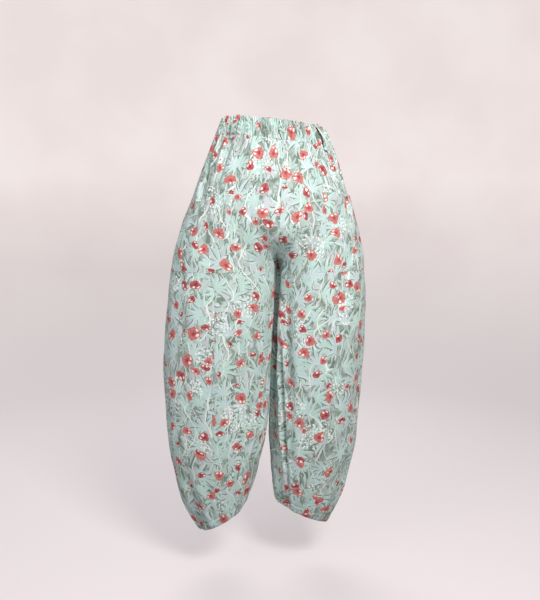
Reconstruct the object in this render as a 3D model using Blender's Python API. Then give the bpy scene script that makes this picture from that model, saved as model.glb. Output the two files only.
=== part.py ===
"""Barrel leg trousers, worn and hollow, with a gathered elastic waist at the back.

Metres, +Z up. The wearer faces -Y and the wearer's left is +X. The origin is the centre of
the waist opening. A place on the cloth is given by its side (left or right), its turn round
the leg (0 at the centre back and the inseam, 0.5 at the outer side, 1 at the centre front and
the inseam again) and its drop below the origin.
"""

import math
from collections import namedtuple
from functools import lru_cache

import bmesh
import bpy
import numpy as np

# ---------------------------------------------------------------- driving sizes
CLOTH = 0.0015            # wall of a panel
BAND_WALL = 0.0024        # elastic in its casing
HEM_WALL = 0.0026         # hem, folded twice
SEAM_GAP = 0.0004         # space between two pieces that are sewn together
SEAM_TURN = 0.0006        # half of the space beside an upright seam, in turns
LAY_GAP = 0.0003          # space under a piece that lies on a panel
LEG_GAP = 0.0004          # half of the least space between the two legs

BAND_TOP = -0.040         # drops of the main levels
WAIST_SEAM = 0.005
POCKET_TOP = 0.112
SEAT_TURN = 0.190         # here the seat starts to curve in under the body
POCKET_BOTTOM = 0.298
CROTCH = 0.285
LEG_START = 0.150         # away from the crotch seam the hips pass into the legs between these
LEG_WHOLE = 0.420
HEM_TOP = 0.879
HEM_EDGE = 0.898

BACK_SEAM = 0.275         # turns of the two seams that hold the side panel
FRONT_SEAM = 0.725
SEAT_SPREAD = 0.14        # turn where the crotch seam's tight curve has died out
POCKET_INNER = 0.185      # turns of the pocket's upright edges
POCKET_OUTER = 0.47

SIGN = {"left": 1.0, "right": -1.0}

# ---------------------------------------------------------------- sections of the cloth
# Hips and waist: one ring round the body. roll tips the ring, the left hip higher.
HipRing = namedtuple("HipRing", "drop centre_x half_width back_depth front_depth roll")
HIP_RINGS = (
    HipRing(-0.040, 0.007, 0.120, 0.086, 0.084, 5.5),
    HipRing(0.005, 0.003, 0.141, 0.101, 0.096, 6.7),
    HipRing(0.060, 0.005, 0.160, 0.115, 0.106, 6.0),
    HipRing(0.120, 0.008, 0.180, 0.127, 0.113, 4.5),
    HipRing(0.180, 0.011, 0.200, 0.133, 0.117, 3.0),
    HipRing(0.240, 0.015, 0.217, 0.132, 0.118, 1.5),
    HipRing(0.300, 0.019, 0.228, 0.127, 0.116, 0.0),
    HipRing(0.420, 0.024, 0.241, 0.116, 0.110, 0.0),
)

# Legs: centre_x is measured outwards from the middle of the body, and roll tips the ring
# with its outer side down, where the barrel leg curves back in to the ankle.
LegRing = namedtuple("LegRing", "drop centre_x centre_y half_width half_depth roll")
LEG_RINGS = {
    "left": (
        LegRing(0.190, 0.1180, 0.008, 0.1180, 0.112, 0.0),
        LegRing(0.285, 0.1240, 0.008, 0.1240, 0.111, 0.0),
        LegRing(0.369, 0.1310, 0.007, 0.1255, 0.108, 0.0),
        LegRing(0.483, 0.1395, 0.006, 0.1270, 0.103, 0.5),
        LegRing(0.560, 0.1425, 0.005, 0.1270, 0.100, 2.0),
        LegRing(0.632, 0.1420, 0.004, 0.1240, 0.096, 4.8),
        LegRing(0.698, 0.1420, 0.003, 0.1200, 0.092, 9.0),
        LegRing(0.751, 0.1410, 0.002, 0.1110, 0.086, 13.3),
        LegRing(0.800, 0.1410, 0.001, 0.1020, 0.080, 17.7),
        LegRing(0.852, 0.1380, 0.001, 0.0860, 0.070, 22.5),
        LegRing(0.898, 0.1320, 0.000, 0.0660, 0.059, 29.0),
    ),
    "right": (
        LegRing(0.190, 0.1015, 0.008, 0.1015, 0.114, 0.0),
        LegRing(0.285, 0.1050, 0.008, 0.1050, 0.115, 0.0),
        LegRing(0.369, 0.1050, 0.007, 0.1085, 0.114, 0.0),
        LegRing(0.483, 0.1005, 0.006, 0.1110, 0.112, 0.5),
        LegRing(0.560, 0.0965, 0.005, 0.1100, 0.110, 2.0),
        LegRing(0.652, 0.0910, 0.004, 0.1075, 0.103, 5.0),
        LegRing(0.721, 0.0865, 0.003, 0.1060, 0.095, 9.0),
        LegRing(0.777, 0.0815, 0.002, 0.0985, 0.086, 13.2),
        LegRing(0.826, 0.0755, 0.001, 0.0915, 0.076, 17.4),
        LegRing(0.870, 0.0680, 0.001, 0.0820, 0.063, 21.0),
        LegRing(0.898, 0.0630, 0.000, 0.0730, 0.052, 25.0),
    ),
}

# Largest folds. width is in turns, depth in metres, and drift is the change of turn from the
# fold's top to its bottom.
FOLD_FADE = 0.3           # share of a fold's length over which each of its ends dies out
Fold = namedtuple("Fold", "side turn top bottom width depth drift")
FOLDS = [
    Fold("left", 0.450, 0.005, 0.200, 0.022, 0.0050, -0.150),
    Fold("left", 0.170, 0.300, 0.560, 0.035, 0.0035, 0.020),
    Fold("left", 0.068, 0.480, 0.740, 0.026, 0.0055, 0.060),
    Fold("left", 0.230, 0.700, 0.895, 0.030, 0.0045, -0.020),
    Fold("left", 0.370, 0.740, 0.895, 0.028, 0.0040, 0.015),
    Fold("left", 0.620, 0.300, 0.620, 0.036, 0.0040, 0.020),
    Fold("left", 0.840, 0.420, 0.760, 0.034, 0.0050, -0.030),
    Fold("left", 0.730, 0.730, 0.895, 0.030, 0.0045, 0.010),
    Fold("right", 0.075, 0.295, 0.865, 0.024, 0.0085, 0.078),
    Fold("right", 0.205, 0.420, 0.800, 0.034, 0.0035, -0.010),
    Fold("right", 0.430, 0.010, 0.190, 0.024, 0.0045, -0.110),
    Fold("right", 0.240, 0.730, 0.895, 0.028, 0.0045, 0.015),
    Fold("right", 0.400, 0.700, 0.895, 0.030, 0.0045, -0.020),
    Fold("right", 0.640, 0.320, 0.640, 0.036, 0.0040, -0.020),
    Fold("right", 0.860, 0.400, 0.780, 0.032, 0.0055, 0.020),
    Fold("right", 0.740, 0.720, 0.895, 0.030, 0.0045, -0.010),
]

# Gathers of the elastic back: fine ones at the seam, broad ones hanging below it.
GATHERS_PER_SIDE = 13     # in each half of the elastic
FINE_GATHER = 0.0020      # crest to trough, at the seam and on the band
FINE_REACH = 0.030        # how far below the seam the fine gathers run
BROAD_GATHER = 0.0055
BROAD_REACH = 0.085
BROAD_START = 0.030       # below the seam, where they are deepest
ELASTIC_END = 0.50        # turn where the elastic ends at each side
ELASTIC_FADE = 0.06       # turns over which its gathers die out there
GATHER_SHIFT = 0.35       # how unevenly the gathers are spaced, in gathers,
GATHER_SWAY = 17.0        # and how fast that changes round the waist

# Belt loops: turn of each, on both sides.
LOOP_TURNS = {"back": 0.262, "front": 0.790}
LOOP_WIDTH = 0.013
LOOP_TOP = -0.0365
LOOP_BOTTOM = 0.0150
LOOP_CLOTH = 0.0016
LOOP_BOW = 0.0055         # how far the middle of a loop stands off the band
LOOP_TACK = 0.14          # share of a loop's length sewn down at each end
LOOP_STEPS = 10

# Grid of the panels. The rows and columns of a pocket are its panels' own.
GRID_ROWS_WAIST = [WAIST_SEAM + SEAM_GAP, 0.018, 0.036, 0.058, 0.084]
GRID_ROWS_HIP = [POCKET_TOP, 0.138, 0.165]
GRID_STEPS_SEAT = 6
GRID_ROWS_LEG = [POCKET_BOTTOM, 0.325, 0.356]
GRID_STEPS_LEG = 14


@lru_cache(maxsize=None)
def knots_of(rings, name):
    """The drops, values and slopes of one column of a ring table."""
    knots = np.array([ring.drop for ring in rings])
    values = np.array([getattr(ring, name) for ring in rings])
    return knots, values, np.gradient(values, knots)


def column(rings, name, drop):
    """Read one column of a ring table smoothly at any drop."""
    knots, values, slopes = knots_of(rings, name)
    drop = np.clip(drop, knots[0], knots[-1])
    low = np.clip(np.searchsorted(knots, drop) - 1, 0, len(knots) - 2)
    span = knots[low + 1] - knots[low]
    u = (drop - knots[low]) / span
    rise = u * u * (3.0 - 2.0 * u)
    leave = u * (1.0 - u) ** 2 * span
    arrive = -u * u * (1.0 - u) * span
    return (values[low] * (1.0 - rise) + values[low + 1] * rise
            + slopes[low] * leave + slopes[low + 1] * arrive)


def ease(value, low, high):
    """Rise smoothly from 0 at low to 1 at high."""
    share = np.clip((value - low) / (high - low), 0.0, 1.0)
    return share * share * (3.0 - 2.0 * share)


def hip_point(sign, turn, drop):
    """Half of the ring round the hips: a half ellipse, deeper at the seat."""
    angle = math.pi * (0.5 - turn)
    roll = np.radians(column(HIP_RINGS, "roll", drop))
    out = sign * column(HIP_RINGS, "half_width", drop) * np.cos(angle)
    back = column(HIP_RINGS, "back_depth", drop)
    front = column(HIP_RINGS, "front_depth", drop)
    share = 0.5 + 0.5 * np.sin(angle)
    depth = front + (back - front) * share
    x = column(HIP_RINGS, "centre_x", drop) + out * np.cos(roll)
    return np.stack([x, depth * np.sin(angle), out * np.sin(roll) - drop], axis=-1)


def leg_point(sign, turn, drop, side):
    """The whole ring round one leg, from the inseam back to the inseam."""
    rings = LEG_RINGS[side]
    angle = math.pi * (1.0 - 2.0 * turn)
    roll = np.radians(column(rings, "roll", drop))
    out = column(rings, "half_width", drop) * np.cos(angle)
    x = sign * (LEG_GAP + column(rings, "centre_x", drop) + out * np.cos(roll))
    y = column(rings, "centre_y", drop) + column(rings, "half_depth", drop) * np.sin(angle)
    return np.stack([x, y, -drop - out * np.sin(roll)], axis=-1)


def plain_point(side, turn, drop):
    """The cloth without folds. Below the seat the hip ring passes into the two legs: in a
    tight curve at the crotch seam, and little by little further round."""
    sign = SIGN[side]
    deep = np.clip((drop - SEAT_TURN) / (CROTCH - SEAT_TURN), 0.0, 1.0)
    tight = 1.0 - deep * deep
    gradual = 1.0 - ease(drop, LEG_START, LEG_WHOLE)
    away = ease(np.minimum(turn, 1.0 - turn), 0.0, SEAT_SPREAD)
    body = (tight + (gradual - tight) * away)[..., None]
    return body * hip_point(sign, turn, drop) + (1.0 - body) * leg_point(sign, turn, drop, side)


def outward(side, turn, drop, surface):
    """Unit normal of a surface, pointing out of the garment."""
    turn_step = 0.0015
    drop_step = 0.0008
    along = surface(side, turn + turn_step, drop) - surface(side, turn - turn_step, drop)
    down = surface(side, turn, drop + drop_step) - surface(side, turn, drop - drop_step)
    normal = np.cross(along, down) * SIGN[side]
    return normal / np.linalg.norm(normal, axis=-1, keepdims=True)


def gather_depth(turn, drop):
    """Depth of the gathers under the elastic, 0 on their crests."""
    back = 1.0 - ease(turn, ELASTIC_END - ELASTIC_FADE, ELASTIC_END + ELASTIC_FADE / 3.0)
    below = np.maximum(drop - WAIST_SEAM, 0.0)
    count = GATHERS_PER_SIDE / ELASTIC_END * turn + GATHER_SHIFT * np.sin(GATHER_SWAY * turn)
    fine = 0.5 - 0.5 * np.cos(2.0 * math.pi * count)
    broad = 0.5 - 0.5 * np.cos(math.pi * count)
    fine_fade = np.exp(-(below / FINE_REACH) ** 2)
    broad_fade = (np.exp(-((below - BROAD_START) / BROAD_REACH) ** 2)
                  * ease(below, 0.0, BROAD_START))
    return back * (FINE_GATHER * fine * fine_fade + BROAD_GATHER * broad * broad_fade)


def fold_depth(side, turn, drop):
    """Depth of the cloth's folds below its plain form."""
    depth = gather_depth(turn, drop)
    for fold in FOLDS:
        if fold.side != side:
            continue
        share = np.clip((drop - fold.top) / (fold.bottom - fold.top), 0.0, 1.0)
        offset = (turn - fold.turn - fold.drift * share) / fold.width
        fade = ease(share, 0.0, FOLD_FADE) * (1.0 - ease(share, 1.0 - FOLD_FADE, 1.0))
        depth = depth + fold.depth * fade * np.exp(-offset * offset)
    return depth


def cloth_point(side, turn, drop):
    """A point on the outside of the cloth, with its folds."""
    base = plain_point(side, turn, drop)
    depth = fold_depth(side, turn, drop)[..., None]
    return base - outward(side, turn, drop, plain_point) * depth


def cloth_layers(side, turns, drop, *lifts, surface=cloth_point):
    """One row of points for each lift off the outside of the cloth."""
    turns = np.asarray(turns, dtype=float)
    drops = np.full_like(turns, drop)
    base = surface(side, turns, drops)
    normal = outward(side, turns, drops, surface)
    return [base + normal * lift for lift in lifts]


def band_layers(turns, drop, *lifts):
    """Rows of the waistband, whose turns run through both sides: the right is below 0."""
    turns = np.asarray(turns)
    left = cloth_layers("left", np.abs(turns), drop, *lifts)
    right = cloth_layers("right", np.abs(turns), drop, *lifts)
    return [np.where(turns[:, None] >= 0.0, *rows) for rows in zip(left, right)]


def strip_faces(upper, lower, closed):
    """Triangles between two rows of point numbers. A row may have twice the other's columns."""
    if closed:
        upper, lower = upper + upper[:1], lower + lower[:1]
    faces = []
    if len(upper) == len(lower):
        for i in range(len(upper) - 1):
            faces.append((upper[i], lower[i], lower[i + 1]))
            faces.append((upper[i], lower[i + 1], upper[i + 1]))
        return faces
    for i in range(len(lower) - 1):
        left, middle, right = upper[2 * i], upper[2 * i + 1], upper[2 * i + 2]
        faces.append((left, lower[i], middle))
        faces.append((middle, lower[i], lower[i + 1]))
        faces.append((middle, lower[i + 1], right))
    return faces


def wall_object(name, layers, material, closed=False):
    """A wall of cloth from pairs of rows, outside and inside. It may close to a tube."""
    mesh = bpy.data.meshes.new(name)
    body = bmesh.new()
    numbers, points = [], []
    for rows in zip(*layers):
        layer = []
        for row in rows:
            layer.append(list(range(len(points), len(points) + len(row))))
            points.extend(row)
        numbers.append(layer)
    vertices = [body.verts.new(point) for point in points]
    outer, inner = numbers
    faces = []
    for upper, lower in zip(outer, outer[1:]):
        faces += strip_faces(upper, lower, closed)
    for upper, lower in zip(inner, inner[1:]):
        faces += [face[::-1] for face in strip_faces(upper, lower, closed)]
    faces += strip_faces(inner[0], outer[0], closed)
    faces += strip_faces(outer[-1], inner[-1], closed)
    if not closed:
        faces += strip_faces([row[0] for row in inner], [row[0] for row in outer], False)
        faces += strip_faces([row[-1] for row in outer], [row[-1] for row in inner], False)
    for face in faces:
        body.faces.new([vertices[number] for number in face])
    bmesh.ops.recalc_face_normals(body, faces=body.faces[:])
    body.to_mesh(mesh)
    body.free()
    mesh.materials.append(material)
    mesh.shade_smooth()
    mesh.set_sharp_from_angle(angle=math.radians(50.0))
    item = bpy.data.objects.new(name, mesh)
    bpy.context.collection.objects.link(item)
    return item


def cloth_material(name, colour, roughness):
    """Woven cotton: a plain matt Principled surface."""
    material = bpy.data.materials.new(name)
    material.use_nodes = True
    shader = material.node_tree.nodes["Principled BSDF"]
    shader.inputs["Base Color"].default_value = (*colour, 1.0)
    shader.inputs["Roughness"].default_value = roughness
    shader.inputs["Metallic"].default_value = 0.0
    return material


def panel_rows():
    """Drops of a panel's rows, close together where the seat turns under."""
    rows = GRID_ROWS_WAIST + GRID_ROWS_HIP
    for step in range(GRID_STEPS_SEAT + 1):
        angle = 0.5 * math.pi * step / GRID_STEPS_SEAT
        rows.append(SEAT_TURN + (CROTCH - SEAT_TURN) * math.sin(angle))
    rows += GRID_ROWS_LEG
    last = GRID_ROWS_LEG[-1]
    for step in range(1, GRID_STEPS_LEG + 1):
        rows.append(last + (HEM_TOP - SEAM_GAP - last) * step / GRID_STEPS_LEG)
    return rows


def stretch(*stops):
    """Turns through several stops, given as turn, steps, turn, steps, turn."""
    turns = [stops[0]]
    for start, steps, end in zip(stops[0::2], stops[1::2], stops[2::2]):
        turns += [start + (end - start) * (step + 1) / steps for step in range(steps)]
    return turns


def halved(turns):
    """The same turns with one more between each two."""
    middles = [0.5 * (low + high) for low, high in zip(turns, turns[1:])]
    both = [turn for pair in zip(turns, middles) for turn in pair]
    return both + [turns[-1]]


# ---------------------------------------------------------------- pieces
PANEL_TURNS = {
    "back": stretch(SEAM_TURN, 9, POCKET_INNER, 4, BACK_SEAM - SEAM_TURN),
    "side": stretch(BACK_SEAM + SEAM_TURN, 7, POCKET_OUTER, 7, FRONT_SEAM - SEAM_TURN),
    "front": stretch(FRONT_SEAM + SEAM_TURN, 10, 1.0 - SEAM_TURN),
}


def make_panel(part, side, material):
    """A long panel from the waist seam to the hem, with finer columns through the gathers."""
    turns = PANEL_TURNS[part]
    layers = []
    for row, drop in enumerate(panel_rows()):
        here = turns
        if part != "front" and row < len(GRID_ROWS_WAIST):
            here = halved(turns)
        layers.append(cloth_layers(side, here, drop, 0.0, -CLOTH))
    return wall_object(f"{part}_panel_{side}", layers, material)


def make_pocket(side, material):
    """A patch pocket on the hip, across the back seam of the side panel."""
    turns = stretch(POCKET_INNER, 4, BACK_SEAM, 7, POCKET_OUTER)
    drops = [drop for drop in panel_rows() if POCKET_TOP <= drop <= POCKET_BOTTOM]
    layers = [cloth_layers(side, turns, drop, LAY_GAP + CLOTH, LAY_GAP) for drop in drops]
    return wall_object(f"hip_pocket_{side}", layers, material)


def make_hem(side, material):
    """The turned hem, a short tube that ends the leg."""
    turns = stretch(0.0, 30, 1.0)[:-1]
    drops = [HEM_TOP, 0.5 * (HEM_TOP + HEM_EDGE), HEM_EDGE]
    layers = [cloth_layers(side, turns, drop, 0.0, -HEM_WALL) for drop in drops]
    return wall_object(f"hem_{side}", layers, material, closed=True)


def make_waistband(part, material):
    """Half of the waistband: the gathered elastic back, or the plain front."""
    end = ELASTIC_END - SEAM_TURN
    if part == "back":
        turns = stretch(-end, 8 * GATHERS_PER_SIDE, end)
    else:
        right = stretch(-1.0, 12, -ELASTIC_END - SEAM_TURN)
        left = stretch(ELASTIC_END + SEAM_TURN, 12, 1.0)
        turns = left[:-1] + right
    drops = [BAND_TOP, 0.5 * (BAND_TOP + WAIST_SEAM), WAIST_SEAM]
    layers = [band_layers(turns, drop, 0.0, -BAND_WALL) for drop in drops]
    return wall_object(f"waistband_{part}", layers, material)


def make_loop(part, side, material):
    """A belt loop: a narrow strip sewn down at both ends, with its middle bowed out."""
    middle = LOOP_TURNS[part]
    near = 0.01
    row = cloth_layers(side, [middle - near, middle + near], WAIST_SEAM, 0.0)[0]
    half_turn = LOOP_WIDTH * near / float(np.linalg.norm(row[1] - row[0]))
    turns = stretch(middle - half_turn, 2, middle + half_turn)
    layers = []
    for step in range(LOOP_STEPS + 1):
        share = step / LOOP_STEPS
        drop = LOOP_TOP + (LOOP_BOTTOM - LOOP_TOP) * share
        free = min(max((share - LOOP_TACK) / (1.0 - 2.0 * LOOP_TACK), 0.0), 1.0)
        under = LAY_GAP + LOOP_BOW * math.sin(math.pi * free)
        layers.append(cloth_layers(side, turns, drop, under + LOOP_CLOTH, under,
                                   surface=plain_point))
    return wall_object(f"belt_loop_{part}_{side}", layers, material)


def main():
    for item in list(bpy.data.objects):
        bpy.data.objects.remove(item, do_unlink=True)
    printed = cloth_material("printed_cotton", (0.29, 0.35, 0.30), 0.85)
    bound = cloth_material("printed_cotton_waistband", (0.27, 0.33, 0.29), 0.85)
    trim = cloth_material("printed_cotton_trim", (0.31, 0.37, 0.33), 0.85)
    for side in SIGN:
        for part in PANEL_TURNS:
            make_panel(part, side, printed)
        make_pocket(side, printed)
        make_hem(side, printed)
        for part in LOOP_TURNS:
            make_loop(part, side, trim)
    make_waistband("back", bound)
    make_waistband("front", bound)


main()
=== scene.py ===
import math
from collections import namedtuple

import bmesh
import bpy
import numpy as np
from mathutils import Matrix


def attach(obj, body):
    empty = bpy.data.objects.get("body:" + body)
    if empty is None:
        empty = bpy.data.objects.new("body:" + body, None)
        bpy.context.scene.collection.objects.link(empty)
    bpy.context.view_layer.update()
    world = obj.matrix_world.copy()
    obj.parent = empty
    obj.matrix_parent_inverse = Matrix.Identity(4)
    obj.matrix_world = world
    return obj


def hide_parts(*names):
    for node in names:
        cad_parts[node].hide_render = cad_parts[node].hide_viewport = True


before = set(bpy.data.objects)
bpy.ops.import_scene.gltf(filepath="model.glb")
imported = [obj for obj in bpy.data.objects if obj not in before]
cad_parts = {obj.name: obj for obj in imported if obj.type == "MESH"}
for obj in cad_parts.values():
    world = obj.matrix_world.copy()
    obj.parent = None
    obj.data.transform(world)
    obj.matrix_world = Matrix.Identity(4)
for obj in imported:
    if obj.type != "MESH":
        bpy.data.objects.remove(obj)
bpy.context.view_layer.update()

# Barrel leg trousers of printed cotton, in their worn form and seen from behind. Metres, +Z up. The
# front faces -Y, the left leg is at +X, and the origin is the centre of the waist opening. A place
# on the cloth is its side, its turn round the leg (0 centre back and inseam, 0.5 outer side,
# 1 centre front) and its drop below the origin.

# ================================================================ BACK PANELS
# Two long panels of plain-woven cotton. They meet at the centre back seam, run down to the
# inseams, and are sewn to the side panels behind. The elastic at the waist draws their tops into
# gathers, and below the seat each one turns under the body and wraps a leg.

SIDES = {"left": 1.0, "right": -1.0}

# The garment hangs on rings: half an ellipse for each side of the hips, and a whole one for each
# leg. roll tips a ring, in degrees: the left hip is higher, and the hems face down and inwards.
HipRing = namedtuple("HipRing", "drop centre_x half_width back_depth front_depth roll")
HIP_RINGS = (
    HipRing(-0.040, 0.007, 0.120, 0.086, 0.084, 5.5),
    HipRing(0.005, 0.003, 0.141, 0.101, 0.096, 6.7),
    HipRing(0.060, 0.005, 0.160, 0.115, 0.106, 6.0),
    HipRing(0.120, 0.008, 0.180, 0.127, 0.113, 4.5),
    HipRing(0.180, 0.011, 0.200, 0.133, 0.117, 3.0),
    HipRing(0.240, 0.015, 0.217, 0.132, 0.118, 1.5),
    HipRing(0.300, 0.019, 0.228, 0.127, 0.116, 0.0),
    HipRing(0.420, 0.024, 0.241, 0.116, 0.110, 0.0),
)
LegRing = namedtuple("LegRing", "drop centre_x centre_y half_width half_depth roll")
LEG_RINGS = {
    "left": (
        LegRing(0.190, 0.1180, 0.008, 0.1180, 0.112, 0.0),
        LegRing(0.285, 0.1240, 0.008, 0.1240, 0.111, 0.0),
        LegRing(0.369, 0.1310, 0.007, 0.1255, 0.108, 0.0),
        LegRing(0.483, 0.1395, 0.006, 0.1270, 0.103, 0.5),
        LegRing(0.560, 0.1425, 0.005, 0.1270, 0.100, 2.0),
        LegRing(0.632, 0.1420, 0.004, 0.1240, 0.096, 4.8),
        LegRing(0.698, 0.1420, 0.003, 0.1200, 0.092, 9.0),
        LegRing(0.751, 0.1410, 0.002, 0.1110, 0.086, 13.3),
        LegRing(0.800, 0.1410, 0.001, 0.1020, 0.080, 17.7),
        LegRing(0.852, 0.1380, 0.001, 0.0860, 0.070, 22.5),
        LegRing(0.898, 0.1320, 0.000, 0.0660, 0.059, 29.0),
    ),
    "right": (
        LegRing(0.190, 0.1015, 0.008, 0.1015, 0.114, 0.0),
        LegRing(0.285, 0.1050, 0.008, 0.1050, 0.115, 0.0),
        LegRing(0.369, 0.1050, 0.007, 0.1085, 0.114, 0.0),
        LegRing(0.483, 0.1005, 0.006, 0.1110, 0.112, 0.5),
        LegRing(0.560, 0.0965, 0.005, 0.1100, 0.110, 2.0),
        LegRing(0.652, 0.0910, 0.004, 0.1075, 0.103, 5.0),
        LegRing(0.721, 0.0865, 0.003, 0.1060, 0.095, 9.0),
        LegRing(0.777, 0.0815, 0.002, 0.0985, 0.086, 13.2),
        LegRing(0.826, 0.0755, 0.001, 0.0915, 0.076, 17.4),
        LegRing(0.870, 0.0680, 0.001, 0.0820, 0.063, 21.0),
        LegRing(0.898, 0.0630, 0.000, 0.0730, 0.052, 25.0),
    ),
}
LEG_GAP = 0.0004          # half of the least space between the two legs

WAIST_SEAM = 0.005        # drops of the seams and of where the forms change
SEAT_TURN = 0.190         # the seat starts to curve in under the body
CROTCH = 0.285
LEG_START = 0.150         # further round, the hips pass into the legs between these two
LEG_WHOLE = 0.420
HEM_TOP = 0.879
SEAT_SPREAD = 0.14        # turn where the crotch seam's tight curve has died out
BACK_SEAM = 0.275         # turns of the side panel's two long seams
FRONT_SEAM = 0.725


def ease(value, low, high):
    """Rise smoothly from 0 at low to 1 at high."""
    share = np.clip((value - low) / (high - low), 0.0, 1.0)
    return share * share * (3.0 - 2.0 * share)


def ring_size(rings, name, drop):
    """One size of the rings at any drop, read smoothly between them."""
    knots = np.array([ring.drop for ring in rings])
    sizes = np.array([getattr(ring, name) for ring in rings])
    slopes = np.gradient(sizes, knots)
    drop = np.clip(drop, knots[0], knots[-1])
    low = np.clip(np.searchsorted(knots, drop) - 1, 0, len(knots) - 2)
    span = knots[low + 1] - knots[low]
    share = (drop - knots[low]) / span
    rise = share * share * (3.0 - 2.0 * share)
    leave = share * (1.0 - share) ** 2 * span
    arrive = share * share * (share - 1.0) * span
    return (sizes[low] + (sizes[low + 1] - sizes[low]) * rise
            + slopes[low] * leave + slopes[low + 1] * arrive)


def hips(side, turn, drop):
    """The half ring round one side of the hips, deeper at the seat than at the belly."""
    angle = math.pi * (0.5 - turn)
    roll = np.radians(ring_size(HIP_RINGS, "roll", drop))
    out = SIDES[side] * ring_size(HIP_RINGS, "half_width", drop) * np.cos(angle)
    back = ring_size(HIP_RINGS, "back_depth", drop)
    front = ring_size(HIP_RINGS, "front_depth", drop)
    depth = front + (back - front) * (0.5 + 0.5 * np.sin(angle))
    x = ring_size(HIP_RINGS, "centre_x", drop) + out * np.cos(roll)
    return np.stack([x, depth * np.sin(angle), out * np.sin(roll) - drop], axis=-1)


def leg(side, turn, drop):
    """The whole ring round one leg, from the inseam back to the inseam."""
    rings = LEG_RINGS[side]
    angle = math.pi * (1.0 - 2.0 * turn)
    roll = np.radians(ring_size(rings, "roll", drop))
    out = ring_size(rings, "half_width", drop) * np.cos(angle)
    x = SIDES[side] * (LEG_GAP + ring_size(rings, "centre_x", drop) + out * np.cos(roll))
    y = ring_size(rings, "centre_y", drop) + ring_size(rings, "half_depth", drop) * np.sin(angle)
    return np.stack([x, y, -drop - out * np.sin(roll)], axis=-1)


def smooth_cloth(side, turn, drop):
    """The cloth without its folds. Below the seat the hips pass into the two legs: in a tight
    curve at the crotch seam, and little by little further round."""
    deep = np.clip((drop - SEAT_TURN) / (CROTCH - SEAT_TURN), 0.0, 1.0)
    tight = 1.0 - deep * deep
    gradual = 1.0 - ease(drop, LEG_START, LEG_WHOLE)
    away = ease(np.minimum(turn, 1.0 - turn), 0.0, SEAT_SPREAD)
    body = (tight + (gradual - tight) * away)[..., None]
    return body * hips(side, turn, drop) + (1.0 - body) * leg(side, turn, drop)


def outwards(side, turn, drop, surface=smooth_cloth):
    """Unit normal of the cloth, pointing out of the garment."""
    turn_step = 0.0015
    drop_step = 0.0008
    along = surface(side, turn + turn_step, drop) - surface(side, turn - turn_step, drop)
    down = surface(side, turn, drop + drop_step) - surface(side, turn, drop - drop_step)
    normal = np.cross(along, down) * SIDES[side]
    return normal / np.linalg.norm(normal, axis=-1, keepdims=True)


# The elastic's gathers: fine ones at the seam, and broad ones that hang below it and fade.
GATHERS = 13              # on each side of the centre back
ELASTIC_END = 0.50        # turn where the elastic ends
ELASTIC_FADE = 0.06       # turns over which its gathers die out there
GATHER_SHIFT = 0.35       # how unevenly they are spaced, in gathers,
GATHER_SWAY = 17.0        # and how fast that changes round the waist
FINE_GATHER = 0.0020
FINE_REACH = 0.030
BROAD_GATHER = 0.0055
BROAD_REACH = 0.085
BROAD_START = 0.030       # below the seam, where they are deepest
PLEATS = 31               # small crushed pleats between the gathers, on each side
PLEAT_DEPTH = 0.0027
PLEAT_REACH = 0.055


def gather_depth(turn, drop):
    """How far the cloth lies below the crests of its gathers."""
    back = 1.0 - ease(turn, ELASTIC_END - ELASTIC_FADE, ELASTIC_END + ELASTIC_FADE / 3.0)
    below = np.maximum(drop - WAIST_SEAM, 0.0)
    count = GATHERS / ELASTIC_END * turn + GATHER_SHIFT * np.sin(GATHER_SWAY * turn)
    fine = 0.5 - 0.5 * np.cos(2.0 * math.pi * count)
    broad = 0.5 - 0.5 * np.cos(math.pi * count)
    lean = 0.9 * np.sin(9.0 * turn + 31.0 * drop)
    pleats = 0.5 - 0.5 * np.cos(2.0 * math.pi * (PLEATS / ELASTIC_END * turn + lean))
    pleats = pleats * (0.35 + 0.65 * np.sin(41.0 * turn + 1.3) ** 2)
    fine_fade = np.exp(-(below / FINE_REACH) ** 2)
    broad_fade = np.exp(-((below - BROAD_START) / BROAD_REACH) ** 2) * ease(below, 0.0, BROAD_START)
    pleat_fade = np.exp(-(below / PLEAT_REACH) ** 2)
    return back * (FINE_GATHER * fine * fine_fade + BROAD_GATHER * broad * broad_fade
                   + PLEAT_DEPTH * pleats * pleat_fade)


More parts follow.
